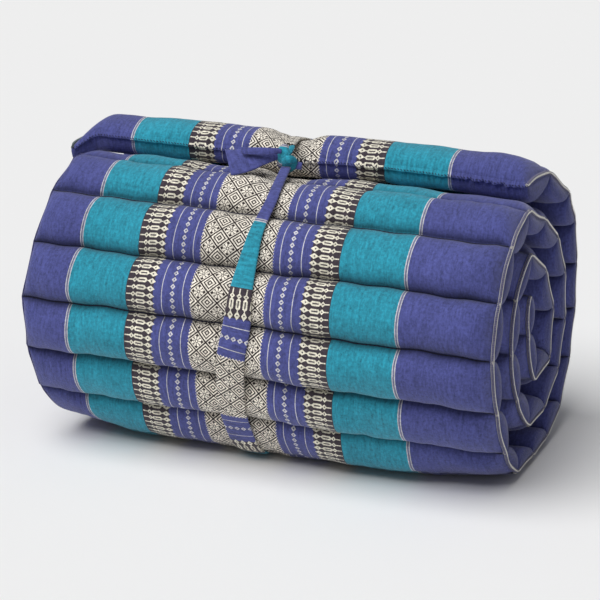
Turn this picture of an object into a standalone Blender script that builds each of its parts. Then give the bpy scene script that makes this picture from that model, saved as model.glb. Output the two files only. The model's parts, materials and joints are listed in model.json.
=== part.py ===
import bpy
import numpy as np

for leftover in list(bpy.data.objects):
    bpy.data.objects.remove(leftover, do_unlink=True)

# A quilted floor mat rolled up and tied round its middle. Metres, +Z up.
# X runs along the roll's axis, -Y is the front, and Z = 0 is the surface it rests on.

MAT_WIDTH = 0.500          # along the roll's axis
OUTER_BULGE = 0.0205       # how far a channel stands out of the line between its folds
INNER_BULGE = 0.0200       # the same towards the core
FOLD_THICKNESS = 0.003     # two cloths stitched together
LAYER_GAP = 0.0010         # left free between a channel and the layer it faces
FOOTPRINT_SHIFT = -0.00585  # along Y, puts the middle of the footprint over the origin
STEPS_PER_CHANNEL = 5      # facets across one channel
OUTER_ROUNDNESS = 0.58     # power of the outer arc: lower is fuller
INNER_ROUNDNESS = 0.72
TIP_ROUNDNESS = 0.42       # the flap's underside next to its closed end

# Channels that stand out by another amount, counted from the flap (m)
OUTER_ODD = {0: 0.0185, 1: 0.0140, 9: 0.0120, 10: 0.0130, 11: 0.0165, 15: 0.0180, 16: 0.0140}
INNER_ODD = {0: 0.0225}

# Folds between the channels, from the flap's closed end to the innermost one.
# back: distance behind the roll's axis, up: height above the surface (mm)
FOLDS = [
    # back,   up
    (11, 294),
    (64, 293),
    (107, 262),
    (131, 216),
    (137, 165),
    (132, 113),
    (111, 65),
    (73, 28),
    (24, 13),
    (-25, 12),
    (-74, 13),
    (-103, 58),
    (-123, 108),
    (-131, 163),
    (-109, 213),
    (-73, 256),
    (-25, 277),
    (24, 255),
    (66, 222),
    (91, 175),
    (91, 122),
    (64, 76),
    (15, 56),
    (-36, 61),
    (-68, 102),
    (-81, 153),
    (-65, 204),
    (-21, 234),
    (23, 204),
    (47, 156),
    (33, 104),
    (-17, 104),
    (-31, 156),
    (-24, 196),
]
OUTER_TURN = 17            # folds in the outermost turn, counted from the flap
KNOT_CHANNELS = (0, 15, 16)    # channels that meet under the knot

# Sections across the mat. across: share of the half width, out and into: share of the
# full bulges, slant: share of the tie's slant it follows, waist: 1 where the tie presses
SECTIONS = [
    # across, out, into, slant, waist
    (-1.000, 0.45, 0.86, 0.0, 0),
    (-0.975, 0.80, 0.95, 0.0, 0),
    (-0.915, 0.96, 1.00, 0.0, 0),
    (-0.800, 1.00, 1.00, 0.0, 0),
    (-0.520, 1.00, 1.00, 0.0, 0),
    (-0.170, 1.00, 1.00, 1.0, 0),
    (-0.085, 1.00, 1.00, 1.0, 1),
    (0.085, 1.00, 1.00, 1.0, 1),
    (0.170, 1.00, 1.00, 1.0, 0),
    (0.480, 1.00, 1.00, 0.0, 0),
    (0.800, 1.00, 1.00, 0.0, 0),
    (0.915, 0.92, 1.00, 0.0, 0),
    (0.975, 0.58, 0.95, 0.0, 0),
    (1.000, 0.12, 0.86, 0.0, 0),
]

LEAN_START = 0.120         # along X, where the right end begins to lean back
LEAN_GROWTH = 1.6          # power of the lean's growth towards the end
# The lean at the very end (m), as amounts of 1, v, w, v*v, v*w and w*w, where v and w are
# the distance behind the axis and the height above 0.15, both in tenths of a metre
LEAN_BACK = (0.0249, 0.0009, -0.0126, -0.0074, 0.0034, -0.0017)
LEAN_UP = (-0.0108, 0.0049, 0.0022, 0.0062, -0.0046, 0.0035)
LEAN_FOOT = 0.060          # height below which the lean no longer lifts or lowers
LEFT_START = 0.130         # along -X, where the left end's lowest channels begin to draw in
LEFT_DRAW = (0.018, 0.012, 0.006)     # how far they go along X, Y and Z
LEFT_FOOT = (0.013, 0.022)            # full below this height, fading over this much more
FLAP_RIGHT = (0.150, 0.262)           # where the flap's right corner droops, along X
FLAP_LEFT = (0.190, 0.250)            # the same to the left, from the middle outwards
FLAP_RIGHT_DRAW = 0.014    # how far the right corner is drawn in
FLAP_RIGHT_DROOP = (0.003, 0.009)     # of the flap, and of the fold behind it
FLAP_LEFT_DROOP = 0.010
FLAP_REACH = (1.0, 1.6)    # folds from the flap's end over which its droop fades away

TIE_WIDTH = 0.031
TIE_THICKNESS = 0.002
TIE_CLEARANCE = 0.002      # between the mat and the band
TIE_AT_TOP = -0.007        # where the band crosses the roll's top, along X
TIE_AT_FOOT = -0.021       # and where it passes underneath
TIE_PRESS = 0.003          # how far it presses the channels in
KNOT_PRESS = 0.003         # and how much more under the knot
FLAP_DROP = 0.0035         # how far it pulls the flap's closed end down
FOOT_CLEARANCE = 0.0005    # between the band and the surface below
BAND_CORNER = (0.003, 0.283)          # where the band turns up behind the knot
BAND_OVER_FLAP = (30, 200)             # headings of the band's wraps, in degrees:
BAND_UNDER_ROLL = (200, 445)           # 0 faces the front, 90 up, 180 back
BAND_HEADINGS = 60
KNOT_CENTRE = (-0.0085, -0.0085, 0.3005)
KNOT_RADII = (0.0085, 0.0070, 0.0120)
KNOT_RINGS = 9
KNOT_SIDES = 16

# The tie's free ends, section by section from the knot outwards:
# upper and lower edge of the ribbon as X, Y, Z (mm)
LONG_END = [
    # upper edge,         lower edge
    ((-20, -12, 307.5), (-19, -15, 297.5)),
    ((-36, -17, 307), (-26, -26, 295)),
    ((-50, -20, 306.5), (-33.5, -34, 292)),
    ((-60, -22, 306), (-42, -41, 289)),
    ((-69, -23, 305), (-53, -46, 287)),
]
SHORT_END = [
    # upper edge,        lower edge
    ((2, -9, 297.5), (2, -9, 290)),
    ((6, -10, 297), (6, -11.5, 289.5)),
    ((10, -10, 296.5), (10, -12.5, 290)),
]
END_THICKNESS = 0.002

PALETTE = {
    # name: colour, roughness
    "mat_cloth": ((0.090, 0.085, 0.330, 1.0), 0.85),
    "tie_cloth": ((0.030, 0.300, 0.420, 1.0), 0.80),
}


def cloth_material(name):
    """Matt woven cotton in one colour."""
    colour, roughness = PALETTE[name]
    material = bpy.data.materials.new(name)
    material.use_nodes = True
    shader = material.node_tree.nodes["Principled BSDF"]
    shader.inputs["Base Color"].default_value = colour
    shader.inputs["Roughness"].default_value = roughness
    shader.inputs["Metallic"].default_value = 0.0
    return material


def add_object(name, points, faces, material):
    """Build one closed mesh, all triangles, with its faces pointing out."""
    mesh = bpy.data.meshes.new(name)
    placed = np.array(points, dtype=float) + (0.0, FOOTPRINT_SHIFT, 0.0)
    mesh.from_pydata(placed.tolist(), [], faces)
    mesh.materials.append(material)
    mesh.polygons.foreach_set("use_smooth", [True] * len(mesh.polygons))
    mesh.update()
    item = bpy.data.objects.new(name, mesh)
    bpy.context.collection.objects.link(item)
    return item


def channel_frames(folds):
    """Chord vectors and outward normals of the channels."""
    chords = folds[1:] - folds[:-1]
    lengths = np.hypot(chords[:, 0], chords[:, 1])
    normals = np.stack([-chords[:, 1], chords[:, 0]], axis=1) / lengths[:, None]
    return chords, lengths, normals


def room_beside(folds, side):
    """Half the distance from each channel's middle to the next layer on that side."""
    chords, lengths, normals = channel_frames(folds)
    middles = (folds[1:] + folds[:-1]) / 2
    rooms = []
    for index, middle in enumerate(middles):
        along = ((middle - folds[:-1]) * chords).sum(axis=1) / lengths ** 2
        nearest = folds[:-1] + chords * np.clip(along, 0, 1)[:, None]
        away = nearest - middle
        distance = np.hypot(away[:, 0], away[:, 1])
        facing = side * (away @ normals[index]) > 0.6 * distance
        facing[max(0, index - 1):index + 2] = False
        rooms.append(distance[facing].min() / 2 if facing.any() else 1.0)
    return np.array(rooms)


def channel_turns(normals):
    """How far the mat turns at each fold, as the tangent of half the angle."""
    cross = normals[:-1, 0] * normals[1:, 1] - normals[:-1, 1] * normals[1:, 0]
    dots = (normals[:-1] * normals[1:]).sum(axis=1)
    half = np.tan(-np.arctan2(cross, dots) / 2)
    return np.concatenate([[0.0], half, [0.0]])


def one_face(folds, side, bulge):
    """Outline of the mat's outer (side 1) or inner (side -1) face."""
    chords, lengths, normals = channel_frames(folds)
    room = room_beside(folds, side) - LAYER_GAP
    height = np.minimum(bulge, room)
    if side < 0:
        height[0] = bulge[0]    # the flap's underside has the open front before it
    roundness = np.full(len(lengths), OUTER_ROUNDNESS if side > 0 else INNER_ROUNDNESS)
    turns = channel_turns(normals) * side
    rows = []
    for step in range(STEPS_PER_CHANNEL):
        share = step / STEPS_PER_CHANNEL
        power = roundness.copy()
        if side < 0 and share < 0.5:
            power[0] = TIP_ROUNDNESS
        arc = (1 - (2 * share - 1) ** 2) ** power
        rise = FOLD_THICKNESS / 2 + (height - FOLD_THICKNESS / 2) * arc
        squeeze_start = np.maximum(0, -turns[:-1]) * (rise + LAYER_GAP)
        squeeze_end = np.maximum(0, -turns[1:]) * (rise + LAYER_GAP)
        along = np.clip(share * lengths, squeeze_start, lengths - squeeze_end)
        facing = normals
        if step == 0:
            facing = normals.copy()
            facing[1:] += normals[:-1]
            facing /= np.hypot(facing[:, 0], facing[:, 1])[:, None]
            along = share * lengths
        base = folds[:-1] + chords / lengths[:, None] * along[:, None]
        rows.append(base + facing * (side * rise)[:, None])
    points = np.stack(rows, axis=1).reshape(-1, 2)
    last = folds[-1] + normals[-1] * side * FOLD_THICKNESS / 2
    return np.vstack([points, last])


def tie_position(up):
    """Where the tie's middle lies along X at a given height."""
    share = np.clip(up / FOLDS[0][1] * 1000, 0, 1)
    return TIE_AT_FOOT + (TIE_AT_TOP - TIE_AT_FOOT) * share


def smooth_step(value, start, end):
    """0 before start, 1 after end, and an even curve between them."""
    share = np.clip((value - start) / (end - start), 0, 1)
    return share * share * (3 - 2 * share)


def droop(x, loop):
    """The flap's corners hang down, and its right one is drawn in towards the middle."""
    where = np.arange(len(loop) // 2) / STEPS_PER_CHANNEL
    where = np.concatenate([where, where[::-1]])
    right = smooth_step(x, *FLAP_RIGHT)
    left = smooth_step(-x, *FLAP_LEFT) ** 1.5
    flap = 1 - smooth_step(where, *FLAP_REACH)
    behind = np.clip(1 - abs(where - 2) / 1.2, 0, 1)
    down = right * (FLAP_RIGHT_DROOP[0] * flap + FLAP_RIGHT_DROOP[1] * behind)
    down += left * FLAP_LEFT_DROOP * np.clip(1.8 - where, 0, 1)
    placed = loop - np.column_stack([np.zeros(len(loop)), down])
    return x - FLAP_RIGHT_DRAW * right * np.clip(1 - where / 2, 0, 1), placed


def settle(x, loop):
    """The right end leans back, more so at some heights, and the left end's foot draws in."""
    y, z = loop[:, 0], loop[:, 1]
    v = y / 0.1
    w = z / 0.1 - 1.5
    share = np.clip((x - LEAN_START) / (MAT_WIDTH / 2 - LEAN_START), 0, 1.1) ** LEAN_GROWTH
    terms = np.stack([np.ones(len(y)), v, w, v * v, v * w, w * w])
    back = LEAN_BACK @ terms
    up = LEAN_UP @ terms
    low = np.exp(-np.maximum(z - LEFT_FOOT[0], 0) / LEFT_FOOT[1])
    left = smooth_step(-x, LEFT_START, 2 * LEFT_START) * low
    y = y + share * back + left * LEFT_DRAW[1]
    z = z + share * up * smooth_step(z, 0.0, LEAN_FOOT) + left * LEFT_DRAW[2]
    return np.column_stack([x + left * LEFT_DRAW[0], y, z])


def odd_bulges(bulge, odd, share):
    """The bulges with the odd channels' own amounts put in."""
    for channel, amount in odd.items():
        bulge[channel] = amount * share
    return bulge


def mat_section(row):
    """Closed outline of one section across the mat, as X, Y, Z points."""
    across, out, into, slant, waist = row
    folds = np.array(FOLDS) / 1000
    bulge = odd_bulges(np.full(len(folds) - 1, OUTER_BULGE * out), OUTER_ODD, out)
    inner_bulge = odd_bulges(np.full(len(folds) - 1, INNER_BULGE * into), INNER_ODD, into)
    if waist:
        folds[0, 1] -= FLAP_DROP
        folds[1, 1] -= FLAP_DROP / 2
        bulge[:OUTER_TURN] -= TIE_PRESS
        bulge[list(KNOT_CHANNELS)] -= KNOT_PRESS
    outer = one_face(folds, 1, bulge)
    inner = one_face(folds, -1, inner_bulge)
    loop = np.vstack([outer, inner[::-1]])
    x, loop = droop(np.full(len(loop), across * MAT_WIDTH / 2), loop)
    placed = settle(x, loop)
    floor = 0.0
    if waist:
        floor = FOOT_CLEARANCE + TIE_THICKNESS + TIE_CLEARANCE
    placed[:, 2] = np.maximum(placed[:, 2], floor)
    placed[:, 0] += slant * tie_position(placed[:, 2])
    return placed


def build_mat():
    """The whole rolled mat as one solid."""
    sections = [mat_section(row) for row in SECTIONS]
    count = len(sections[0])
    points = np.vstack(sections)
    faces = []
    for band in range(len(sections) - 1):
        start = band * count
        for index in range(count):
            here = start + index
            after = start + (index + 1) % count
            faces.append((here, after + count, after))
            faces.append((here, here + count, after + count))
    half = count // 2
    end = (len(sections) - 1) * count
    for index in range(half - 1):
        mirror = count - 1 - index
        faces.append((index, mirror - 1, mirror))
        faces.append((index, index + 1, mirror - 1))
        faces.append((end + index, end + mirror - 1, end + index + 1))
        faces.append((end + index, end + mirror, end + mirror - 1))
    return add_object("mat_roll", points, faces, cloth_material("mat_cloth"))


def wrap(points, headings):
    """Points where a taut band touches, and the way it faces at each."""
    angles = np.radians(np.linspace(*headings, BAND_HEADINGS))
    facing = np.column_stack([-np.cos(angles), np.sin(angles)])
    touched = (points @ facing.T).argmax(axis=0)
    return points[touched], facing


def band_path():
    """The band's line round the roll, with the way it faces at each point."""
    waist = next(row for row in SECTIONS if row[-1])
    outline = mat_section(waist)[:, 1:]
    channel = np.arange(len(outline)) / STEPS_PER_CHANNEL
    flap_side = outline[channel < 9]
    front_side = outline[(channel > 6) & (channel < OUTER_TURN - 0.5)]
    over, over_facing = wrap(flap_side, BAND_OVER_FLAP)
    under, under_facing = wrap(front_side, BAND_UNDER_ROLL)
    corner = np.array(BAND_CORNER)
    corner_facing = np.array([-0.7071, 0.7071])
    path = np.vstack([corner, over, under])
    facing = np.vstack([corner_facing, over_facing, under_facing])
    return path, facing


def strip_solid(name, rings, material, closed):
    """Join rings of four corners into one closed solid."""
    points = np.vstack(rings)
    count = len(rings)
    faces = []
    for ring in range(count if closed else count - 1):
        here = ring * 4
        after = (ring + 1) % count * 4
        for corner in range(4):
            side = (corner + 1) % 4
            faces.append((here + corner, after + side, here + side))
            faces.append((here + corner, after + corner, after + side))
    if not closed:
        last = (count - 1) * 4
        faces += [(0, 1, 2), (0, 2, 3)]
        faces += [(last, last + 2, last + 1), (last, last + 3, last + 2)]
    return add_object(name, points, faces, material)


def build_band(material):
    """The ribbon that goes once round the roll."""
    path, facing = band_path()
    inner = path + facing * TIE_CLEARANCE
    outer = path + facing * (TIE_CLEARANCE + TIE_THICKNESS)
    rings = []
    for near, far in zip(inner, outer):
        middle = tie_position(near[1])
        left = middle - TIE_WIDTH / 2
        right = middle + TIE_WIDTH / 2
        rings.append([(left, *near), (right, *near), (right, *far), (left, *far)])
    return strip_solid("tie_band", rings, material, True)


def build_knot(material):
    """The knot in front of the flap, as one egg-shaped lump."""
    points = [(0.0, 0.0, -1.0)]
    for ring in range(1, KNOT_RINGS):
        tilt = np.pi * ring / KNOT_RINGS
        for side in range(KNOT_SIDES):
            turn = 2 * np.pi * side / KNOT_SIDES
            points.append((np.sin(tilt) * np.cos(turn), np.sin(tilt) * np.sin(turn), -np.cos(tilt)))
    points.append((0.0, 0.0, 1.0))
    top = len(points) - 1
    faces = []
    for side in range(KNOT_SIDES):
        after = (side + 1) % KNOT_SIDES
        faces.append((0, 1 + after, 1 + side))
        faces.append((top, top - KNOT_SIDES + side, top - KNOT_SIDES + after))
        for ring in range(KNOT_RINGS - 2):
            low = 1 + ring * KNOT_SIDES
            high = low + KNOT_SIDES
            faces.append((low + side, low + after, high + after))
            faces.append((low + side, high + after, high + side))
    placed = np.array(points) * KNOT_RADII + KNOT_CENTRE
    return add_object("tie_knot", placed, faces, material)


def build_end(name, table, material):
    """One free end of the ribbon."""
    upper = np.array([row[0] for row in table]) / 1000
    lower = np.array([row[1] for row in table]) / 1000
    run = np.gradient((upper + lower) / 2, axis=0)
    across = upper - lower
    facing = np.cross(run, across)
    facing *= END_THICKNESS / 2 / np.linalg.norm(facing, axis=1)[:, None]
    rings = np.stack([upper + facing, upper - facing, lower - facing, lower + facing], axis=1)
    return strip_solid(name, list(rings), material, False)


build_mat()
tie_cloth = cloth_material("tie_cloth")
build_band(tie_cloth)
build_knot(tie_cloth)
build_end("tie_end_long", LONG_END, tie_cloth)
build_end("tie_end_short", SHORT_END, tie_cloth)
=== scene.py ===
import json
import bmesh
import bpy
import numpy as np
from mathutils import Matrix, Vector

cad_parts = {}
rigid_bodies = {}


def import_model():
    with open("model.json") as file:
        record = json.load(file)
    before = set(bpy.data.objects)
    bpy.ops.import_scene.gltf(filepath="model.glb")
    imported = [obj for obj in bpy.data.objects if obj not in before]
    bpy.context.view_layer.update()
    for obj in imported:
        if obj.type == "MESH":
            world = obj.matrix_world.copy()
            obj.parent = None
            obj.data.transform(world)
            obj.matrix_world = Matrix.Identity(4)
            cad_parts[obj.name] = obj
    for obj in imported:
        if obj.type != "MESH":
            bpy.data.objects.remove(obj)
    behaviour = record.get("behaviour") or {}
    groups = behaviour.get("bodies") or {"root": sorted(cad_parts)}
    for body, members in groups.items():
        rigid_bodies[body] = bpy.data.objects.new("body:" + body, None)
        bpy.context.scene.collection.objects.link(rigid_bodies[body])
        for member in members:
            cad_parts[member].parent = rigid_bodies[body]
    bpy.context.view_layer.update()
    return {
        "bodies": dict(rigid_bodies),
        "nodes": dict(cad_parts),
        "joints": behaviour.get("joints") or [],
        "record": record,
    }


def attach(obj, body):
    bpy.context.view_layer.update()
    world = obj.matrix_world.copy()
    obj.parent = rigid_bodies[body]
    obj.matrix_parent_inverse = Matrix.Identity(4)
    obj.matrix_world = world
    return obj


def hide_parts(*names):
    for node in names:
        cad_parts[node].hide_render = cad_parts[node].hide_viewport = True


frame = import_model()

# A quilted Thai floor mat, rolled up and tied round its middle. Metres, X along the roll,
# -Y the front, Z = 0 the surface below. Shapes are worked out about the roll's axis, and makePiece
# moves each piece so that the middle of the footprint lies over the origin.

print("frame loaded:", sorted(frame["nodes"]))


# Small helpers

def smoothStep(value, start, end):
    # 0 before start, 1 after end, an S curve between
    share = np.clip((value - start) / (end - start), 0, 1)
    return share * share * (3 - 2 * share)


def ripple(position, waves, seed):
    # sum of sines of the given wavelengths, each with its own phase; between about -1 and 1
    phases = np.random.default_rng(seed).uniform(0, 2 * np.pi, len(waves))
    total = sum(np.sin(2 * np.pi * position / wave + phase) for wave, phase in zip(waves, phases))
    return total / np.sqrt(len(waves)) * 0.8


def together(*tables):
    # tables spread over one common shape and put side by side along a new last axis
    return np.stack(np.broadcast_arrays(*tables), -1)


def gridFaces(rows, columns, closed=False):
    # corner numbers of the quads of a rows x columns grid, its last column joined to its first
    # one where it is closed
    row = np.arange(rows - 1)[:, None] * columns
    column = np.arange(columns if closed else columns - 1)
    following = (column + 1) % columns
    return together(row + column, row + following,
                    row + columns + following, row + columns + column).reshape(-1, 4)


def pick(loop, chosen):
    # the chosen points of a section, by a mask, a slice or a table of places
    return {key: value[chosen] if isinstance(value, np.ndarray) else value
            for key, value in loop.items()}


def makePiece(name, points, faces, cloth, material):
    # a smooth mesh, its faces outwards, whose UV map is each point's place on the flat cloth (m)
    mesh = bpy.data.meshes.new(name)
    placed = points.reshape(-1, 3) + [0, mat["footprintShift"], 0]
    mesh.from_pydata(placed.tolist(), [], faces.tolist())
    turned = bmesh.new()
    turned.from_mesh(mesh)
    bmesh.ops.recalc_face_normals(turned, faces=turned.faces)
    turned.to_mesh(mesh)
    turned.free()
    mesh.materials.append(material)
    mesh.polygons.foreach_set("use_smooth", np.ones(len(mesh.polygons), bool))
    corner = np.empty(len(mesh.loops), np.int32)
    mesh.loops.foreach_get("vertex_index", corner)
    layer = mesh.uv_layers.new(name="cloth")
    layer.data.foreach_set("uv", cloth.reshape(-1, 2)[corner].ravel().astype(np.float32))
    mesh.update()
    piece = bpy.data.objects.new(name, mesh)
    bpy.context.collection.objects.link(piece)
    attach(piece, "root")
    print("made", name, len(faces), "faces")
    return piece


# Shader maths

class Wire:
    # a node's output that adds its own Math nodes when it is used in a sum
    def __init__(self, bench, socket):
        self.bench, self.socket = bench, socket

    def maths(self, operation, *values):
        return self.bench.node("ShaderNodeMath", {"operation": operation}, dict(enumerate(values)))

    def __add__(self, other): return self.maths("ADD", self, other)
    def __radd__(self, other): return self.maths("ADD", other, self)
    def __sub__(self, other): return self.maths("SUBTRACT", self, other)
    def __rsub__(self, other): return self.maths("SUBTRACT", other, self)
    def __mul__(self, other): return self.maths("MULTIPLY", self, other)
    def __rmul__(self, other): return self.maths("MULTIPLY", other, self)
    def __lt__(self, other): return self.maths("LESS_THAN", self, other)
    def __gt__(self, other): return self.maths("GREATER_THAN", self, other)
    def __abs__(self): return self.maths("ABSOLUTE", self)
    def __or__(self, other): return self.maths("MAXIMUM", self, other)
    def __and__(self, other): return self.maths("MINIMUM", self, other)
    def wrapped(self, pitch): return self.maths("WRAP", self, pitch / 2, -pitch / 2)
    def sine(self): return self.maths("SINE", self)
    def floor(self): return self.maths("FLOOR", self)
    def root(self): return self.maths("SQRT", self)
    def turnFrom(self, other): return self.maths("ARCTAN2", other, self)


class Bench:
    # one material under construction
    def __init__(self, name):
        self.material = bpy.data.materials.new(name)
        self.material.use_nodes = True
        self.tree = self.material.node_tree
        self.shader = self.tree.nodes["Principled BSDF"]

    def node(self, kind, settings, sockets, output=0):
        # any node: its settings first, then the values or links of its sockets
        made = self.tree.nodes.new(kind)
        for key, value in settings.items():
            setattr(made, key, value)
        for key, value in sockets.items():
            self.plug(made.inputs[key], value)
        return Wire(self, made.outputs[output])

    def plug(self, socket, value):
        # a link where the value is a wire, or else the socket's own value
        if isinstance(value, Wire):
            self.tree.links.new(value.socket, socket)
        else:
            socket.default_value = value

    def parts(self, place):
        # a place's first two numbers
        made = self.node("ShaderNodeSeparateXYZ", {}, {0: place}).socket.node
        return Wire(self, made.outputs[0]), Wire(self, made.outputs[1])

    def blend(self, share, first, second):
        # first where share is 0, second where it is 1
        return self.node("ShaderNodeMix", {"data_type": "RGBA"}, {0: share, 6: first, 7: second}, 2)

    def shade(self, colour, amount):
        # a colour times a number
        return self.node("ShaderNodeVectorMath", {"operation": "SCALE"},
                         {0: colour, "Scale": amount})

    def noise(self, place, size, detail=2.0, roughness=0.5):
        # soft noise between 0 and 1
        return self.node("ShaderNodeTexNoise", {},
                         {"Vector": place, "Scale": size, "Detail": detail, "Roughness": roughness})

    def stretched(self, place, factors):
        # a place times one factor for each of its axes
        return self.node("ShaderNodeVectorMath", {"operation": "MULTIPLY"}, {0: place, 1: factors})

    def finish(self, colour, roughness, height, depth, sheen):
        # the matt thready surface that all the pieces share; depth in metres
        bump = self.node("ShaderNodeBump", {},
                         {"Strength": 1.0, "Distance": depth, "Height": height})
        self.plug(self.shader.inputs["Base Color"], colour)
        self.plug(self.shader.inputs["Roughness"], roughness)
        self.plug(self.shader.inputs["Normal"], bump)
        self.shader.inputs["Sheen Weight"].default_value = sheen
        self.shader.inputs["Sheen Roughness"].default_value = 0.5
        self.shader.inputs["Specular IOR Level"].default_value = 0.25
        return self.material


# Woven cloth

weave = {
    # colours
    "blue": (0.070, 0.080, 0.270, 1),
    "teal": (0.020, 0.280, 0.390, 1),
    "cream": (0.800, 0.760, 0.630, 1),
    "charcoal": (0.050, 0.038, 0.050, 1),
    "latticePale": (0.930, 0.865, 0.755, 1), "latticeDark": (0.026, 0.018, 0.018, 1),
    "paleLine": (0.600, 0.590, 0.620, 1),
    "stripeMiddle": (0.180, 0.185, 0.300, 1),
    # places from the pattern's middle line, in cm
    "latticeEdge": 3.9, "blueBandEdge": 7.7, "spikeBandEdge": 10.75,
    "tealEdgeLeft": 16.9, "tealEdgeRight": 17.45,
    # the double stripe's width, and where its darker middle starts and ends
    "doubleStripe": 0.34, "middleStart": 0.088, "middleEnd": 0.252,
    # the blue band's two lines and its chain, from the lattice's edge
    "lines": (0.72, 2.96), "lineHalf": 0.04, "chain": 1.82,
    "latticePitch": 1.95, "spikePitch": 0.73, "chainPitch": 0.70,
    "toothPitch": 0.33, "toothHeight": 0.17,
    # how far the threads wander, in cm, and how much the tone varies: in short slubs, long
    # streaks, flecks and broad faded patches
    "wanderAcross": 0.07, "wanderAlong": 0.05,
    "slub": 1.35, "streak": 0.90, "fleck": 1.35, "fade": 0.40,
    "paintedFoldShade": 0.62,         # painted shade: how much darker the deepest folds are made, standing in for the shadow down in them
    "threadPitch": 0.0009, "threadDepth": 0.00018,
}


def diamond(t, w, length, width):
    # 1 inside a diamond of these half sizes, whose middle is at t = w = 0
    return abs(t) * (1 / length) + w * (1 / width) < 1


def latticeMask(x, y):
    # 1 on the dark threads of the middle band: slanted squares that hold a flower or nested rings
    pitch = weave["latticePitch"]
    a = (x + y + pitch / 2) * (1 / pitch)
    b = (x - y + pitch / 2) * (1 / pitch)
    odd = abs(((a + 0.5).floor() + (b + 0.5).floor()).wrapped(2)) > 0.5
    p, q = a.wrapped(1), b.wrapped(1)
    ring = abs(p) | abs(q)
    # eight petals parted by thin lines, round a dark eye
    far = (p * p + q * q).root()
    swell = abs((p.turnFrom(q) * 4).sine())
    petals = (far < 0.27 + swell * 0.13) * (far > 0.120) * (swell > 0.42) | (far < 0.070)
    flower = (1 - petals) * (ring < 0.385)
    # squares one inside the other
    rings = (ring > 0.075) * (ring < 0.160) | (ring > 0.262) * (ring < 0.348)
    return (ring > 0.445) | odd * rings | (1 - odd) * flower


def spikeMask(t, y):
    # 1 on the cream threads of the spiked band; t runs from the blue band (0) to the teal (3.05)
    # in cm. Each row is a pierced arrowhead, a neck, a long ring, a small diamond and a bar
    w = abs(y.wrapped(weave["spikePitch"]))
    tip = diamond(t - 0.40, w, 0.46, 0.30) * (abs(t - 0.44) + w > 0.10)
    neck = (w < 0.045) * (t > 0.7) * (t < 1.1)
    longRing = (abs(t - 1.48) + w < 0.62) * (w < 0.235)
    longHole = (abs(t - 1.48) + w < 0.36) * (w < 0.065)
    small = diamond(t - 2.25, w, 0.27, 0.28) * (abs(t - 2.25) + w > 0.09)
    bar = (w < 0.06) * (t > 2.4) * (t < 2.96)
    return tip | neck | longRing * (1 - longHole) | small | bar


def chainMask(t, y):
    # white diamonds with a dark heart in a row
    w = abs(y.wrapped(weave["chainPitch"]))
    return diamond(t, w, 0.27, 0.30) * (abs(t) + w > 0.10)


def clothColour(bench, x, y):
    # the cloth's woven stripes and figures, x across and y along the mat in cm: the lattice in the
    # middle, then on each side the blue band, the spiked band, teal, the double stripe and blue
    side = abs(x)
    lattice = weave["latticeEdge"]
    tooth = abs(y.wrapped(weave["toothPitch"])) * (weave["toothHeight"] / (weave["toothPitch"] / 2))
    dark = latticeMask(x, y) * (side + tooth * 0.9 < lattice - 0.05)
    colour = bench.blend(dark, weave["latticePale"], weave["latticeDark"])

    band = side - lattice
    near, far = weave["lines"]
    lines = (abs(band - near) < weave["lineHalf"]) | (abs(band - far) < weave["lineHalf"])
    fromChain = band - weave["chain"]
    # a dark dot stands between one diamond of the chain and the next
    link = abs((y + weave["chainPitch"] / 2).wrapped(weave["chainPitch"]))
    dots = abs(fromChain) + link < 0.085
    blue = bench.blend(lines | chainMask(fromChain, y), weave["blue"], weave["paleLine"])
    blue = bench.blend(dots, blue, weave["charcoal"])
    colour = bench.blend(side > lattice - tooth, colour, blue)

    # the arrowheads reach a little way into the blue band
    t = side - weave["blueBandEdge"]
    spikes = spikeMask(t, y)
    spiked = bench.blend(spikes, weave["charcoal"], weave["cream"])
    colour = bench.blend((t > 0.10) | spikes * (t > -0.2), colour, spiked)

    edge = weave["tealEdgeLeft"] + (x > 0) * (weave["tealEdgeRight"] - weave["tealEdgeLeft"])
    colour = bench.blend(side > weave["spikeBandEdge"], colour, weave["teal"])
    colour = bench.blend(side > edge, colour, weave["blue"])
    inStripe = side - edge
    stripe = (inStripe > 0) * (inStripe < weave["doubleStripe"])
    middle = (inStripe > weave["middleStart"]) * (inStripe < weave["middleEnd"])
    colour = bench.blend(stripe, colour, weave["paleLine"])
    return bench.blend(middle, colour, weave["stripeMiddle"])


def clothMaterial(name, offset, repeat=None):
    # the patterned cotton; offset is where the pattern's middle lies on the piece's own map, and
    # repeat the distance after which it comes again
    bench = Bench(name)
    place = bench.node("ShaderNodeUVMap", {"uv_map": "cloth"}, {})
    across, along = bench.parts(place)
    # threads are never quite straight
    wander = bench.noise(bench.stretched(place, (35, 60, 1)), 1.0) - 0.5
    x = across * 100 - offset * 100 + wander * weave["wanderAcross"]
    x = x.wrapped(repeat * 100) if repeat else x
    y = along * 100 + wander * weave["wanderAlong"]
    colour = clothColour(bench, x, y)
    slub = bench.noise(bench.stretched(place, (420, 110, 1)), 1.0, 3.0, 0.75)
    streak = bench.noise(bench.stretched(place, (210, 30, 1)), 1.0, 3.0, 0.75)
    fleck = bench.noise(bench.stretched(place, (300, 340, 1)), 1.0, 3.0, 0.75)
    fade = bench.noise(bench.stretched(place, (14, 20, 1)), 1.0, 3.0)
    tone = 1 + (slub - 0.5) * weave["slub"] + (streak - 0.5) * weave["streak"] \
        + (fleck - 0.5) * weave["fleck"] + (fade - 0.5) * weave["fade"]
    # painted shade: darker down in the folds and on the ends' panels, where the mesh carries a
    # painted-shade value
    paintedShade = bench.node("ShaderNodeAttribute", {"attribute_name": "paintedShade"}, {}, 2)
    colour = bench.shade(colour, tone * (1 - paintedShade * weave["paintedFoldShade"]))
    warp = (across * (2 * np.pi / weave["threadPitch"])).sine()
    weft = (along * (2 * np.pi / weave["threadPitch"])).sine()
    height = warp * weft * 0.3 + slub * 0.8 + fleck * 0.6
    return bench.finish(colour, 0.80 + fleck * 0.12, height, weave["threadDepth"], 0.25)


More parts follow.
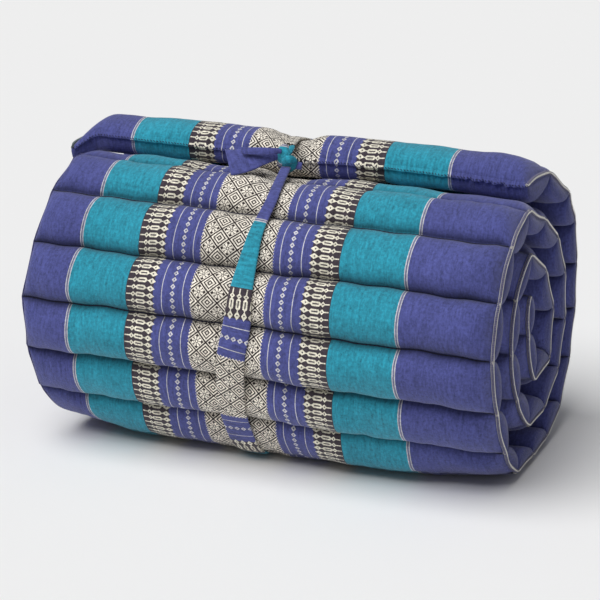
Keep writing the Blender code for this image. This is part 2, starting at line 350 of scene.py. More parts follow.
matCloth = clothMaterial("mat_cloth_woven", -0.0198)
print("cloth woven")


# The rolled mat

mat = {
    "width": 0.500,
    "outerBulge": 0.0205, "innerBulge": 0.0200,     # how far a channel stands out, each way
    # channels that stand out less or more than that, on each face
    "outerOdd": {0: 0.0185, 1: 0.0140, 9: 0.0120, 10: 0.0130, 11: 0.0165, 15: 0.0180, 16: 0.0140},
    "innerOdd": {0: 0.0232},
    "foldThickness": 0.003, "layerGap": 0.0010,
    "outerRoundness": 0.56, "innerRoundness": 0.66, "tipRoundness": 0.36,
    "footprintShift": -0.00585,     # along Y, brings the middle of the footprint over the origin
    "outerTurn": 17,            # channels in the outermost turn
    "channelPitch": 0.055,      # from fold to fold on the outermost turn, about
    "stepsOuter": 14, "stepsInner": 9, "panelSteps": 7,
    "columns": 122, "crowding": 0.28,       # along the roll, and how much closer at its ends
    "lumps": 0.0012,            # how far the filling's lumps stand out
    "puckers": 0.0007, "puckerReach": 0.004, "puckerWaves": (0.031, 0.022, 0.0165, 0.047),
    "wander": 0.0011, "wanderWaves": (0.31, 0.17, 0.083, 0.041),
    # where the filling runs out at the ends: the share that is missing and the distance it takes,
    # on the outer face at the right and the left, what the flap adds there, and on the inner face
    "rightRunOut": (0.92, 0.0080), "leftRunOut": (0.45, 0.006), "flapRunOut": (0.05, 0.002),
    "innerRunOut": (0.14, 0.006),
    # how far the ends are rounded inwards, at the folds and more between them
    "rightRound": (0.0015, 0.0020), "leftRound": (0.0040, 0.0070), "roundReach": 0.012,
    # the ends' panels: how far they puff out and how much painted shade they get; then how far the
    # painted shade in the folds reaches
    "panelPuff": 0.0040, "paintedPanelShade": 0.40, "paintedFoldShadeReach": 0.0026,
    # left of the tie the topmost channels are gathered towards it: how far, and each one's share
    "gather": 0.0105,
    "gatherWhere": [0, 1.5, 3, 13.2, 15.5, 17, 21], "gatherShare": [0.45, 0.45, 0, 0, 1, 1.35, 0],
    # how far the flap's left corner goes outwards, forwards and down
    "leftCorner": (0.008, 0.014, 0.021),
    "leftThinner": 0.0045,      # and how much less it is filled there
    # how far its right corner goes inwards, the flap down, and the fold behind it down
    "rightCorner": (0.014, 0.003, 0.009),
    # near the right end the roll leans back and up: terms in 1, v, w, vv, vw and ww, in metres
    "leanStart": 0.12, "leanGrowth": 1.6, "leanFoot": 0.06,
    "leanBack": (0.0249, 0.0009, -0.0126, -0.0074, 0.0034, -0.0017),
    "leanUp": (-0.0108, 0.0049, 0.0022, 0.0062, -0.0046, 0.0035),
    "leftFoot": (0.018, 0.012, 0.006),      # the left end's lowest channels: inwards, back and up
    # folds between the channels: distance behind the axis and height, in mm
    "folds": [
        (11, 294), (64, 293), (107, 262), (131, 216), (137, 165), (132, 113), (111, 65),
        (73, 28), (24, 13), (-25, 12), (-74, 13), (-103, 58), (-123, 108), (-131, 163),
        (-109, 213), (-73, 256), (-25, 277), (24, 255), (66, 222), (91, 175), (91, 122),
        (64, 76), (15, 56), (-36, 61), (-68, 102), (-81, 153), (-65, 204), (-21, 234),
        (23, 204), (47, 156), (33, 104), (-17, 104), (-31, 156), (-24, 196)],
}

strap = {
    # the tie's middle line: height and place along X on the front
    "heights": [0.000, 0.060, 0.110, 0.165, 0.213, 0.256, 0.277, 0.300],
    "middles": [-0.019, -0.022, -0.017, -0.008, -0.006, -0.003, 0.000, -0.009],
    "behind": -0.021,           # its place on the flap and behind the roll
    "press": 0.003, "knotPress": 0.003, "pressWidth": 0.026,    # how deep it presses in
    "flapDrop": 0.0035, "dropWidth": 0.030,     # how far it pulls the flap down
    "groove": 0.0030, "grooveWidth": 0.012,     # deeper and narrower over the flap's top
}


def strapMiddle(back, up):
    # where the tie's middle lies along X beside a point of the section
    front = np.interp(up, strap["heights"], strap["middles"])
    return front + (strap["behind"] - front) * smoothStep(back, 0.0, 0.05)


def channelFrames(folds):
    # each channel's chord, its length, and the way it faces: the chord turned by a right angle
    chords = folds[1:] - folds[:-1]
    lengths = np.hypot(chords[:, 0], chords[:, 1])
    return chords, lengths, np.stack([-chords[:, 1], chords[:, 0]], 1) / lengths[:, None]


def roomBeside(folds, side):
    # half the distance from each channel's middle to the nearest other layer on one side
    chords, lengths, normals = channelFrames(folds)
    middles = (folds[1:] + folds[:-1]) / 2
    rooms = []
    for index, middle in enumerate(middles):
        along = ((middle - folds[:-1]) * chords).sum(1) / lengths ** 2
        away = folds[:-1] + chords * np.clip(along, 0, 1)[:, None] - middle
        distance = np.hypot(away[:, 0], away[:, 1])
        facing = side * (away @ normals[index]) > 0.6 * distance
        facing[max(0, index - 1):index + 2] = False
        rooms.append(distance[facing].min() / 2 if facing.any() else 1.0)
    return np.array(rooms)


def faceLine(side):
    # one face of the mat's section: points on the chords, the way each faces, and the share
    # of the full bulge there, which is (1 - (2q - 1)^2) to a power, q running 0 to 1 per channel
    folds = np.array(mat["folds"]) / 1000
    chords, lengths, normals = channelFrames(folds)
    gap = mat["layerGap"]
    full = np.full(len(lengths), mat["outerBulge"] if side > 0 else mat["innerBulge"])
    height = np.minimum(full, roomBeside(folds, side) - gap)
    odd = mat["outerOdd"] if side > 0 else mat["innerOdd"]
    height[list(odd)] = list(odd.values())
    power = mat["outerRoundness"] if side > 0 else mat["innerRoundness"]
    cross = normals[:-1, 0] * normals[1:, 1] - normals[:-1, 1] * normals[1:, 0]
    dots = (normals[:-1] * normals[1:]).sum(1)
    turns = np.concatenate([[0], np.tan(-np.arctan2(cross, dots) / 2), [0]]) * side
    thin = mat["foldThickness"] / 2
    rows = []
    for channel in range(len(lengths)):
        steps = mat["stepsOuter"] if channel < mat["outerTurn"] else mat["stepsInner"]
        q = (1 - np.cos(np.pi * np.arange(steps) / steps)) / 2
        blunt = mat["tipRoundness"] if channel == 0 and side < 0 else power
        arc = (1 - (2 * q - 1) ** 2) ** np.where(q < 0.5, blunt, power)
        rise = thin + (height[channel] - thin) * arc
        start = np.maximum(0, -turns[channel]) * (rise + gap)
        end = np.maximum(0, -turns[channel + 1]) * (rise + gap)
        along = np.clip(q * lengths[channel], start, lengths[channel] - end)
        along[0] = 0
        facing = np.tile(normals[channel], (steps, 1))
        if channel:
            both = normals[channel] + normals[channel - 1]
            facing[0] = both / np.hypot(*both)
        base = folds[channel] + chords[channel] / lengths[channel] * along[:, None]
        rows.append(np.column_stack([base, facing * side, arc, np.full(steps, height[channel]),
                                     channel + q, np.full(steps, side)]))
    last = [[*folds[-1], *(normals[-1] * side), 0, height[-1], len(lengths), side]]
    return np.vstack(rows + [last])


def sectionLoop():
    # the whole closed section: outer face from the flap inwards, then the inner face back
    outer, inner = faceLine(1), faceLine(-1)
    loop = {}
    table = np.vstack([outer, inner[::-1]])
    for key, column in zip(("y", "z", "ny", "nz", "arc", "height", "where", "side"), table.T):
        loop[key] = column
    thin = mat["foldThickness"] / 2
    lines = []
    for face in (outer, inner):
        points = face[:, :2] + face[:, 2:4] * (thin + (face[:, 5] - thin) * face[:, 4])[:, None]
        steps = np.hypot(*np.diff(points, axis=0).T)
        lines.append(np.concatenate([[0], np.cumsum(steps)]))
    loop["length"] = np.concatenate([lines[0], -lines[1][::-1] - 0.0001])
    loop["half"] = len(outer)
    return loop


def nearFold(loop):
    # distance to the closest fold, measured along the channel
    share = loop["where"] - np.floor(loop["where"])
    return np.minimum(share, 1 - share) * mat["channelPitch"]


def foldWander(loop, x, seed):
    # each fold's own small drift along the roll (sines of four wavelengths with the fold's own
    # phases), shared by the channels on both sides of it
    waves = mat["wanderWaves"]
    count = len(mat["folds"])
    phases = np.random.default_rng(seed).uniform(0, 2 * np.pi, (count, len(waves)))
    low = np.minimum(np.floor(loop["where"]).astype(int), count - 2)
    share = loop["where"] - low
    drifts = [sum(np.sin(2 * np.pi * x / wave + phases[fold, k])
                  for k, wave in enumerate(waves)) * 0.4 for fold in (low, low + 1)]
    return drifts[0] * (1 - share) + drifts[1] * share


def runOut(distance, share, reach):
    # the part of the filling that is missing near an end: exp(-distance / reach) of a share
    return share * np.exp(-np.maximum(distance, 0) / reach)


def matSurface(loop, x):
    # points of the mat at places x along the roll: base line + facing * bulge, then the strap's
    # pull, the lumps of the filling, puckers beside the stitching, and the roll's lean and taper
    x = np.broadcast_to(x, np.broadcast_shapes(np.shape(x), loop["y"].shape))
    y, z = loop["y"] + 0 * x, loop["z"] + 0 * x
    arc, where, side = loop["arc"], loop["where"], loop["side"]
    half = mat["width"] / 2
    fromRight, fromLeft = half - x, half + x
    flap = smoothStep(1.6 - where, 0, 0.6)
    leftShare, leftReach = mat["leftRunOut"]
    flapShare, flapReach = mat["flapRunOut"]
    outerEnd = 1 - runOut(fromRight, *mat["rightRunOut"]) \
        - runOut(fromLeft, leftShare + flapShare * flap, leftReach + flapReach * flap)
    innerEnd = 1 - runOut(np.minimum(fromRight, fromLeft), *mat["innerRunOut"])
    ends = np.where(side > 0, outerEnd, innerEnd)

    # the strap's pull
    offset = x - strapMiddle(y, z)
    outerTurn = (where < mat["outerTurn"] - 0.02) & (side > 0)
    knotted = (where < 1) | (where > 15)
    press = strap["press"] * outerTurn + strap["knotPress"] * outerTurn * knotted
    press = press * np.exp(-(offset / strap["pressWidth"]) ** 4)
    overFlap = smoothStep(where, 0.10, 0.45) * (1 - smoothStep(where, 1.1, 1.9)) * (side > 0)
    groove = strap["groove"] * overFlap * np.exp(-(offset / strap["grooveWidth"]) ** 2)
    drop = strap["flapDrop"] * np.clip(1 - where / 2, 0, 1)
    z = z - drop * np.exp(-(offset / strap["dropWidth"]) ** 2)

    # the filling
    thin = mat["foldThickness"] / 2
    full = loop["height"] * ends - press - groove
    full = full - mat["leftThinner"] * flap * (side > 0) * smoothStep(-x, 0.09, 0.21)
    rise = thin + (full - thin) * arc
    rise = rise + mat["lumps"] * arc * (outerTurn | (where < 3)) * lumps(x, loop["length"])
    share = nearFold(loop) / mat["puckerReach"]
    pucker = ripple(x + np.round(where) * 0.137 + side * 0.05, mat["puckerWaves"], 5)
    rise = rise + mat["puckers"] * share * np.exp(1 - share) * pucker * outerTurn
    drift = mat["wander"] * foldWander(loop, x, 40) * smoothStep(loop["z"], 0.0, 0.03)
    y = y + loop["ny"] * rise + loop["nz"] * side * drift
    z = z + loop["nz"] * rise - loop["ny"] * side * drift

    # its ends are rounded, and left of the tie it is gathered
    near = np.exp(-np.minimum(fromRight, fromLeft) / mat["roundReach"])
    right, left = [low + more * arc for low, more in (mat["rightRound"], mat["leftRound"])]
    x = x - np.sign(x) * near * np.where(x > 0, right, left * (1 - flap * 0.8))
    gathered = np.interp(where, mat["gatherWhere"], mat["gatherShare"]) * smoothStep(-x, 0.04, 0.17)
    x = x + mat["gather"] * gathered

    # the flap hangs a little at both its corners, and its right one is drawn in
    rightEnd = smoothStep(x, 0.15, 0.262)
    leftEnd = smoothStep(-x, 0.222, 0.253) ** 1.2 * np.clip(1.8 - where, 0, 1)
    out, forward, down = mat["leftCorner"]
    inwards, flapDown, foldDown = mat["rightCorner"]
    x = x - inwards * rightEnd * np.clip(1 - where / 2, 0, 1) - out * leftEnd
    y = y - forward * leftEnd
    behindFlap = np.clip(1 - abs(where - 2) / 1.2, 0, 1)
    z = z - rightEnd * (flapDown * flap + foldDown * behindFlap) - down * leftEnd
    return settle(x, y, z)


def lumps(x, length):
    # uneven filling: a few crossing waves of 5 to 12 cm
    random = np.random.default_rng(11)
    total = 0
    for wave in random.uniform(0.05, 0.12, 9):
        angle, phase = random.uniform(0, 2 * np.pi, 2)
        along = x * np.cos(angle) + length * np.sin(angle)
        total = total + np.sin(2 * np.pi / wave * along + phase)
    return total / 3


def secondDegree(terms, v, w):
    # the sum of six terms: one alone, then times v, w, vv, vw and ww
    alone, inV, inW, inVV, inVW, inWW = terms
    return alone + inV * v + inW * w + inVV * v * v + inVW * v * w + inWW * w * w


def settle(x, y, z):
    # near its right end the roll leans back by a second-degree function of y and z; at the left
    # end its lowest channels are drawn in; it rests flat on the floor
    v, w = y / 0.1, z / 0.1 - 1.5
    lean = (x - mat["leanStart"]) / (mat["width"] / 2 - mat["leanStart"])
    share = np.clip(lean, 0, 1.1) ** mat["leanGrowth"]
    foot = smoothStep(-x, 0.13, 0.26) * np.exp(-np.maximum(z - 0.013, 0) / 0.022)
    inwards, back, up = mat["leftFoot"]
    leanUp = share * secondDegree(mat["leanUp"], v, w) * smoothStep(z, 0.0, mat["leanFoot"])
    y = y + share * secondDegree(mat["leanBack"], v, w) + foot * back
    z = z + leanUp + foot * up
    return np.stack([x + foot * inwards, y, np.maximum(z, 0.0)], -1)


def addBakeMap(piece):
    # a second map inside the unit square: the two faces' length is cut into six strips that lie
    # in two rows of three, and the panels of the ends beside them
    mesh = piece.data
    place = np.empty(len(mesh.loops) * 2, np.float32)
    mesh.uv_layers["cloth"].data.foreach_get("uv", place)
    x, length = np.moveaxis(place.reshape(-1, 4, 2).astype(float), 2, 0)
    whole = length.max()
    # where an end's panels meet the inner face, the two inner corners of a face take the lengths
    # of its two outer ones, the farther with the farther
    meeting = (np.abs(x).max(1)[:, None] > 0.26) & (length < 0)
    x = np.where(meeting, np.sign(x) * 0.295, x)
    farthest = length.max(1)[:, None]
    nearest = np.where(length >= 0, length, farthest).min(1)[:, None]
    count = np.maximum(meeting.sum(1), 1)[:, None]
    middle = np.where(meeting, length, 0).sum(1)[:, None] / count
    length = np.where(meeting, np.where(length < middle, farthest, nearest), length)
    # the faces that close the innermost edge
    closing = (np.ptp(length, axis=1)[:, None] > whole) & (length < 0)
    length = np.where(closing, whole + 0.002, length)
    strip = 2 * whole / 6 + 0.001
    pitch, rowPitch = strip + 0.012, 0.602      # from strip to strip and from row to row
    number = np.floor((length.min(1)[:, None] + whole) / strip)
    along = length + whole - number * strip + (number % 3) * pitch
    across = x + 0.300 + (number // 3) * rowPitch
    size = max(3 * pitch, 2 * rowPitch) + 0.004
    layer = mesh.uv_layers.new(name="OFBake")
    packed = np.stack([along, across], -1) / size + 0.001
    layer.data.foreach_set("uv", packed.ravel().astype(np.float32))


def buildMat():
    # the section's points at every column along the roll, closed at both ends by puffed panels
    t = np.linspace(-1, 1, mat["columns"])
    crowding = mat["crowding"]
    x = t * (1 - crowding) + crowding * np.sin(t * np.pi / 2) ** 3
    x = x / x[-1] * mat["width"] / 2
    points = matSurface(matLoop, x[:, None])
    cloth = together(x[:, None], matLoop["length"])
    columns, count = points.shape[:2]
    faces = [gridFaces(columns, count, closed=True)]
    points, cloth = points.reshape(-1, 3), cloth.reshape(-1, 2)
    # a panel runs from the outer to the inner edge, and stands out by a share of the arc's height
    half = matLoop["half"]
    outerLength = matLoop["length"][:half]
    arc = matLoop["arc"][:half] * 0.5 + matLoop["arc"][::-1][:half] * 0.5
    for column, sign, puff in ((0, -1, mat["panelPuff"] * 0.4), (columns - 1, 1, mat["panelPuff"])):
        outer = column * count + np.arange(half)
        inner = column * count + (2 * half - 1 - np.arange(half))
        share = np.linspace(0, 1, mat["panelSteps"])[1:-1, None]
        panel = points[outer] * (1 - share[..., None]) + points[inner] * share[..., None]
        panel[..., 0] += sign * puff * np.sin(np.pi * share) ** 0.7 * arc
        fresh = len(points) + np.arange(panel[..., 0].size).reshape(panel.shape[:2])
        ladder = np.vstack([outer, fresh, inner])
        grid = gridFaces(*ladder.shape)
        faces.append(ladder.ravel()[grid if sign < 0 else grid[:, ::-1]])
        edge = together(sign * (0.27 + 0.02 * share), outerLength)
        points = np.vstack([points, panel.reshape(-1, 3)])
        cloth = np.vstack([cloth, edge.reshape(-1, 2)])
    piece = makePiece("mat_quilt", points, np.vstack(faces), cloth, matCloth)
    addBakeMap(piece)
    # painted shade: 1 in the folds, falling to nothing a few millimetres away from them; the ends'
    # panels get painted shade too, for facing away from the light
    paintedShade = np.full(len(points), mat["paintedPanelShade"])
    depth = np.exp(-nearFold(matLoop) / mat["paintedFoldShadeReach"]) * (matLoop["where"] > 0.5)
    paintedShade[:columns * count] = np.tile(depth, columns)
    layer = piece.data.attributes.new("paintedShade", "FLOAT", "POINT")
    layer.data.foreach_set("value", paintedShade.astype(np.float32))
    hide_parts("mat_roll")


matLoop = sectionLoop()
buildMat()


# Strips and ribbons

def unit(vectors):
    # vectors divided by their own lengths
    return vectors / np.maximum(np.linalg.norm(vectors, axis=-1, keepdims=True), 1e-9)


def headings(path):
    # the unit vector along a path at each of its points
    return unit(np.gradient(path, axis=0))


def runLength(path):
    # distance along a path from its start
    return np.concatenate([[0], np.cumsum(np.linalg.norm(np.diff(path, axis=0), axis=1))])


def evenly(path, count, *others):
    # the path's points, and anything that goes with them, at even distances
    along = runLength(path)
    marks = np.linspace(0, along[-1], count)
    return [np.stack([np.interp(marks, along, column) for column in np.asarray(table).T], -1)
            for table in (path, *others)]


def softened(values, rounds):
    # each inner point moved to the mean of itself and its neighbours, several times
    for _ in range(rounds):
        inner = (values[:-2] + 2 * values[1:-1] + values[2:]) / 4
        values = np.concatenate([values[:1], inner, values[-1:]])
    return values


def flowing(points, count, rounds):
    # a smooth line through a few points given in mm
    return softened(evenly(np.array(points) / 1000, count)[0], rounds)


def makeTubes(name, rings, cloth, material):
    # one or more tubes, given as tube x ring x point; a ring runs over the top and back, and a
    # ladder of quads closes each end
    count, rows, corners = rings.shape[:3]
    left = np.arange(corners // 2 - 1)
    cap = np.stack([left, corners - 1 - left, corners - 2 - left, left + 1], -1)
    one = np.vstack([gridFaces(rows, corners, closed=True)[:, ::-1], cap[:, ::-1],
                     (rows - 1) * corners + cap])
    faces = (one + np.arange(count)[:, None, None] * rows * corners).reshape(-1, 4)
    return makePiece(name, rings, faces, cloth, material)


def ribbonRings(path, sideways, width, flat, thickness, crown):
    # a ribbon that keeps its flat width: its edges turn under in a half circle and run back
    # below, the right one under the left; returns the rings and each ring point's place across
    # the flat ribbon
    forward = headings(path)
    normal = unit(np.cross(forward, sideways))
    sideways = unit(np.cross(normal, forward))
    curl = 0.85 * thickness
    straight = np.clip(width / 2 - curl, 0.001, flat / 2 - np.pi * curl - 0.002)[:, None]
    # three stretches of samples on each side: the top, the turn and the part below
    stretch = np.concatenate([np.linspace(0, 1, 6)[:-1], np.linspace(1, 2, 6)[:-1],
                              np.linspace(2, 3, 5)])
    below = flat / 2 - straight - np.pi * curl
    onTop, turning, under = [np.clip(stretch - start, 0, 1) for start in (0, 1, 2)]
    reach = onTop * straight + turning * np.pi * curl + under * below
    turn = turning * np.pi
    back = under * np.minimum(below, 1.7 * straight)
    across = onTop * straight + curl * np.sin(turn) - back
    depth = curl * (1 - np.cos(turn)) + 0 * across
    depthRight = depth + curl * 1.2 * smoothStep(back, 0, 0.003)
    lower = np.concatenate([depth[:, :0:-1], depthRight], 1)
    across = np.concatenate([-across[:, :0:-1], across], 1)
    reach = np.concatenate([-reach[:, :0:-1], reach], 1)
    lower = lower + crown * (across / (width[:, None] / 2)) ** 2 * width[:, None]
    # both faces of the cloth, half its thickness out from that line each way
    slopeA, slopeD = np.gradient(across, axis=1), np.gradient(lower, axis=1)
    size = np.maximum(np.hypot(slopeA, slopeD), 1e-9)
    layers = []
    for sign in (1, -1):
        a = across + sign * slopeD / size * thickness / 2
        d = lower - sign * slopeA / size * thickness / 2
        sheet = path[:, None] + sideways[:, None] * a[..., None] - normal[:, None] * d[..., None]
        layers.append(sheet[:, ::sign])
    return np.concatenate(layers, 1), np.concatenate([reach, reach[:, ::-1]], 1)


# Seams at the mat's ends and along its closed edge

seam = {
    "halfWidth": 0.0030, "thickness": 0.0024, "pinch": 0.60, "pinchReach": 0.0035,
    # the two rows of thread, in mm from the seam's middle, and its slanted stitches
    "rowPlace": 1.95, "rowHalf": 0.78, "slantPitch": 1.7,
    "paleThread": (0.900, 0.880, 0.820, 1), "paleBand": (0.075, 0.070, 0.170, 1),
    "darkThread": (0.150, 0.200, 0.190, 1), "darkBand": (0.030, 0.034, 0.060, 1),
    "plainThread": (0.080, 0.075, 0.260, 1), "plainBand": (0.050, 0.046, 0.190, 1),
    "overlockEnd": 1.3,         # how far round the left end the dark overlock runs, in channels
    "tackThread": (0.500, 0.480, 0.440), "tackLength": 0.0034, "tackRadius": 0.00048, "tacks": 5,
    # the quilting thread is near-black, so that besides the stitching it paints the shadow down in
    # each fold
    "quiltShadowThread": (0.012, 0.012, 0.030), "quiltRadius": 0.0009, "quiltStitch": 0.0042,
    # the hem's thread is near-black and its stitches lie close together, so that besides the sewing
    # they paint the shadow line under the lap
    "hemShadowThread": (0.018, 0.020, 0.060), "hemStitch": 0.0026, "hemRadius": 0.00042, "hemCount": 150,
    "hemAbove": 0.0022, "hemBelow": 0.0030, "hemProud": 0.0022, "hemThickness": 0.0012,
    "ruffleWaves": (0.013, 0.021, 0.0085), "ruffle": 0.0009,
}


def seamMaterial(name, band, thread):
    # a sewn edge: a row of thread down each side of a band, with slanted stitches between them
    bench = Bench(name)
    place = bench.node("ShaderNodeUVMap", {"uv_map": "cloth"}, {})
    across, along = [part * 1000 for part in bench.parts(place)]
    fray = bench.noise(bench.stretched(place, (900, 700, 1)), 1.0, 2.0)
    rows = abs(abs(across) - seam["rowPlace"]) < seam["rowHalf"] + (fray - 0.5) * 0.5
    slant = ((along + across * 0.8) * (2 * np.pi / seam["slantPitch"])).sine()
    share = rows * 0.95 | (slant > 0.2) * 0.15
    colour = bench.shade(bench.blend(share, band, thread), 0.75 + fray * 0.5)
    return bench.finish(colour, 0.75 + fray * 0.15, slant * 0.5 + rows * 0.7, 0.0005, 0.2)


def threadMaterial(name, colour):
    # plain twisted sewing thread
    bench = Bench(name)
    place = bench.node("ShaderNodeTexCoord", {}, {}, 3)
    fray = bench.noise(place, 1500.0, 2.0)
    return bench.finish(bench.shade(colour, 0.7 + fray * 0.6), 0.7 + fray * 0.2, fray, 0.0002, 0.1)


def outerPart(first, last):
    # the section's outer face from one place to another, counted in channels from the flap
    where = matLoop["where"]
    return pick(matLoop, (matLoop["side"] > 0) & (where > first - 1e-6) & (where < last + 1e-6))


def buildEdgeSeam(name, x, first, last, band, thread, halfWidth, thickness, turned=0.75):
    # a flat rounded bead round the mat's end at x: half an ellipse that faces between the
    # channel's outside and, by the share turned, the roll's end; pinched at every fold
    part = outerPart(first, last)
    edge = matSurface(part, x)
    path, toFold = evenly(edge, len(edge) * 2, nearFold(part)[:, None])
    path = softened(path, 1)
    forward = headings(path)
    endward = np.tile([np.sign(x), 0, 0], (len(path), 1))
    outward = unit(np.cross(forward, endward)) * np.sign(x)
    facing = unit(outward * 0.60 + endward * turned)
    sideways = unit(np.cross(forward, facing))
    pinch = 1 - seam["pinch"] * np.exp(-(toFold / seam["pinchReach"]) ** 2)
    wide = sideways[:, None] * pinch[..., None] * halfWidth
    high = facing[:, None] * thickness
    angle = np.linspace(-np.pi / 2, np.pi / 2, 9)[:, None]
    low = np.linspace(1, -1, 9)[:, None]
    top = path[:, None] + wide * np.sin(angle) + high * np.cos(angle)
    under = path[:, None] + wide * low * 0.8 - high * 0.6
    rings = np.concatenate([top, under], 1)
    across = np.concatenate([np.sin(angle), low])[:, 0] * seam["halfWidth"]
    cloth = together(across, runLength(path)[:, None])
    material = seamMaterial(name + "_thread", band, thread)
    return makeTubes(name, rings[None], cloth, material)


def buildStitches(name, middles, directions, facings, length, radius, colour):
    # many short threads in one mesh: each an ellipsoid of 5 rings of 6 points, longest along its
    # own direction
    turn = np.linspace(0, 2 * np.pi, 6, endpoint=False)
    lift = np.linspace(-1, 1, 5)[:, None] * 0.96
    ring = np.sqrt(1 - lift ** 2)
    template = together(lift, ring * np.cos(turn), ring * np.sin(turn))
    directions, facings = unit(directions), unit(facings)
    sides = np.cross(directions, facings)
    frame = np.stack([directions * length / 2, facings * radius, sides * radius], 1)
    rings = np.einsum("rpk,nkj->nrpj", template, frame) + middles[:, None, None]
    material = threadMaterial(name + "_thread", colour)
    return makeTubes(name, rings, np.zeros_like(rings[..., :2]), material)


def buildHem():
    # the mat's closed edge: its upper cloth laps over the lower one in a narrow uneven strip,
    # sewn down with a close row of small near-black stitches that also paint the shadow line under
    # the lap
    x = np.linspace(-0.2485, 0.2485, 320)
    last = len(matLoop["y"]) - 2
    part = pick(matLoop, np.array([[0, 1, last]]))
    tip, above, below = np.moveaxis(matSurface(part, x[:, None]), 1, 0)
    facing = unit(np.cross(headings(tip), unit(above - below)))
    facing = facing * np.where(facing[:, 1:2] > 0, -1, 1)
    upward, downward = unit(above - tip), unit(below - tip)
    ruffle = ripple(x, seam["ruffleWaves"], 9) * (0.25 + 1.0 * smoothStep(x, 0.12, 0.22))
    dip = (seam["hemBelow"] + ruffle * seam["ruffle"])[:, None]
    share = np.linspace(0, 1, 7)
    rows = []
    for s in share:
        point = tip + upward * (1 - s) * seam["hemAbove"] + downward * dip * s ** 1.4
        proud = 0.0002 + seam["hemProud"] * smoothStep(s, 0.0, 0.9) * (1 + 0.45 * ruffle)
        rows.append(point + facing * proud[:, None])
    outer = np.stack(rows, 1)
    inner = outer[:, ::-1] - facing[:, None] * seam["hemThickness"]
    rings = np.concatenate([outer, inner], 1)
    y = np.concatenate([share, share[::-1]]) * -0.004 + 0.002
    cloth = together(x[:, None], y)
    makeTubes("closing_hem", rings[None, :, ::-1], cloth[:, ::-1], matCloth)
    # near-black stitches, almost end to end: the hem's sewing and the painted shadow line under the
    # lap
    middle = outer[:, 4] + facing * 0.0002
    path, facing, upward = evenly(middle, seam["hemCount"], facing, upward)
    tilt = np.random.default_rng(21).uniform(0.0, 0.9, len(path))[:, None]
    buildStitches("hem_stitches_shadow_line", path, np.gradient(path, axis=0) * 200 - upward * tilt, facing,
                  seam["hemStitch"], seam["hemRadius"], seam["hemShadowThread"])


def buildQuilting():
    # a running stitch along every fold of the outer turn, its thread near-black so that it also
    # paints the shadow down in the fold: a thin six-sided thread whose thickness follows a sine,
    # with one swell for each stitch
    x = np.linspace(-0.246, 0.246, 230)
    turn = np.linspace(0, 2 * np.pi, 6, endpoint=False)[:, None]
    swell = 0.55 + 0.45 * np.abs(np.sin(np.pi * x / seam["quiltStitch"]))
    radius = (swell * seam["quiltRadius"])[:, None, None]
    threads = []
    for fold in range(1, mat["outerTurn"] - 1):
        part = outerPart(fold, fold)
        line = matSurface(part, x[:, None])
        outward = np.array([0, part["ny"][0], part["nz"][0]])
        upward = np.array([0, -outward[2], outward[1]])
        ring = np.cos(turn) * outward + np.sin(turn) * upward
        threads.append(line + outward * 0.0007 + ring * radius)
    threads = np.array(threads)
    # the thread's near-black colour is painted shadow for the folds as well as the thread's own
    # colour
    material = threadMaterial("quilting_shadow_thread", seam["quiltShadowThread"])
    makeTubes("quilting_shadow_line", threads, np.zeros_like(threads[..., :2]), material)


def buildTacks():
    # where two channels meet at the right end, a bar tack of crossing threads holds the seam down
    middles, directions, facings = [], [], []
    random = np.random.default_rng(8)
    for fold in range(1, 31):
        part = outerPart(fold, fold)
        point = matSurface(part, 0.2488)[0]
        faceY, faceZ = part["ny"][0], part["nz"][0]
        outward, along = np.array([0.45, faceY, faceZ]), np.array([0, -faceZ, faceY])
        for _ in range(seam["tacks"]):
            shift = random.uniform(-1, 1, 3) * [0.0012, 0.0010, 0.0010]
            middles.append(point + shift + unit(outward) * 0.0006)
            upright, slant = random.uniform(0.5, 1), random.uniform(-0.8, 0.8)
            directions.append(along * upright + np.array([1, 0, 0]) * slant)
            facings.append(outward)
    buildStitches("end_tacks", np.array(middles), np.array(directions), np.array(facings),
                  seam["tackLength"], seam["tackRadius"], seam["tackThread"])


buildEdgeSeam("edge_seam_right", 0.2495, 0, 33, seam["paleBand"], seam["paleThread"],
              seam["halfWidth"], seam["thickness"])
buildEdgeSeam("edge_seam_left", -0.2495, seam["overlockEnd"], 33, seam["plainBand"],
              seam["plainThread"], 0.0016, 0.0007)
buildEdgeSeam("flap_overlock", -0.2495, 0, seam["overlockEnd"], seam["darkBand"],
              seam["darkThread"], 0.0034, 0.0018, 0.15)
buildHem()
buildQuilting()
buildTacks()
print("seams sewn")


# The tie

tie = {
    "flat": 0.037, "thickness": 0.0010, "clearance": 0.0010, "crown": 0.03,
    "repeat": 0.440,            # the pattern comes again after this length
    "knotPlace": -0.035,        # the place on the cloth where it comes out of the knot's top
    "latticeHeight": 0.0965,    # and the height on the front of its lattice's middle
    # width along the front, by height
    "widthHeights": [0.00, 0.06, 0.12, 0.165, 0.19, 0.215, 0.255, 0.285, 0.305],
    "widths": [0.0270, 0.0280, 0.0292, 0.0285, 0.0250, 0.0200, 0.0125, 0.0095, 0.0085],
    "fullWidth": 0.0285, "knotWidth": 0.0090,
    "knotBottom": (-0.0138, 0.2890), "knotTop": (-0.0033, 0.3090),
    "gatheredLift": 0.0016,     # how much higher it lies where it is gathered
    "outlineLowest": 0.0030, "pathLowest": 0.0026,      # how close to the floor it is led
    "samples": 420,
}

tieCloth = clothMaterial("tie_cloth_woven", 0.0, tie["repeat"])


def tautLine(points, start, end, count=90):
    # where a taut band touches a set of section points, for headings from start to end degrees:
    # 0 faces the front, 90 up, 180 back
    angles = np.radians(np.linspace(start, end, count))
    facing = np.column_stack([-np.cos(angles), np.sin(angles)])
    return points[(points @ facing.T).argmax(0)], facing


